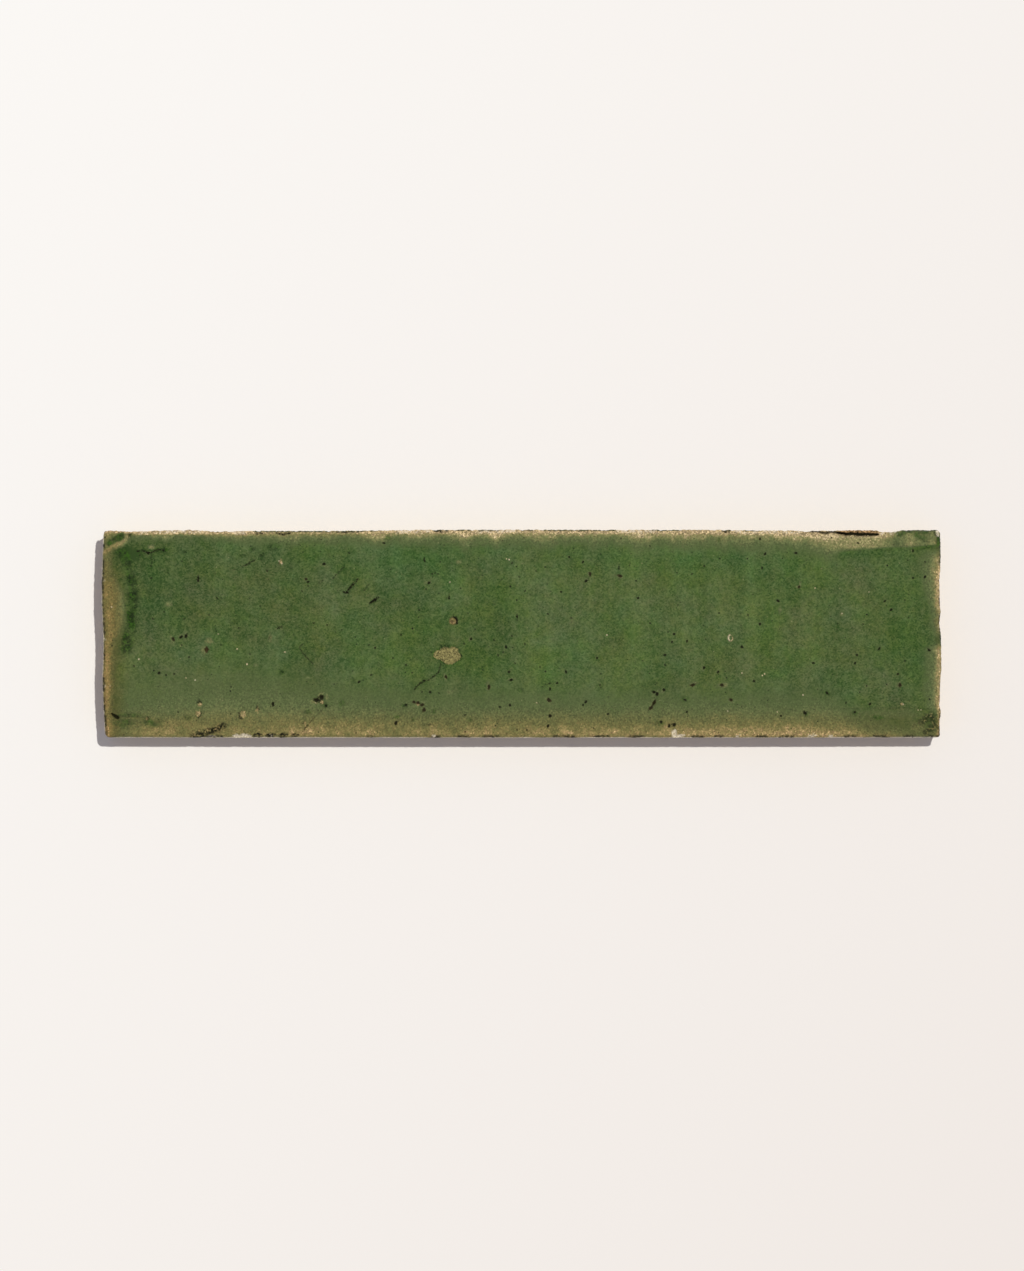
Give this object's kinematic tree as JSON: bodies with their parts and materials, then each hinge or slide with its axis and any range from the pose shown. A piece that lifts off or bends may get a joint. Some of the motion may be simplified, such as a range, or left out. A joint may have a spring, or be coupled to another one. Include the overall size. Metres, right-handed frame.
{
  "type": "glazed ceramic tile",
  "caption": "Narrow hand-cut wall tile of buff clay with a mottled green glaze, softly crowned face, undercut sides and worn, pitted edges.",
  "frame": {"origin": "middle of the flat back, which lies on the floor", "axes": "+X along the tile, +Y across it, +Z out of the glazed face"},
  "size_m": [0.1999, 0.0496, 0.011],
  "materials": {
    "glaze": "mottled green glaze on the face, thin and olive towards the edges, with pits and bare buff clay on the arrises, sides and back"
  },
  "bodies": {
    "root": {"glazed_tile": "glaze"}
  },
  "joints": []
}
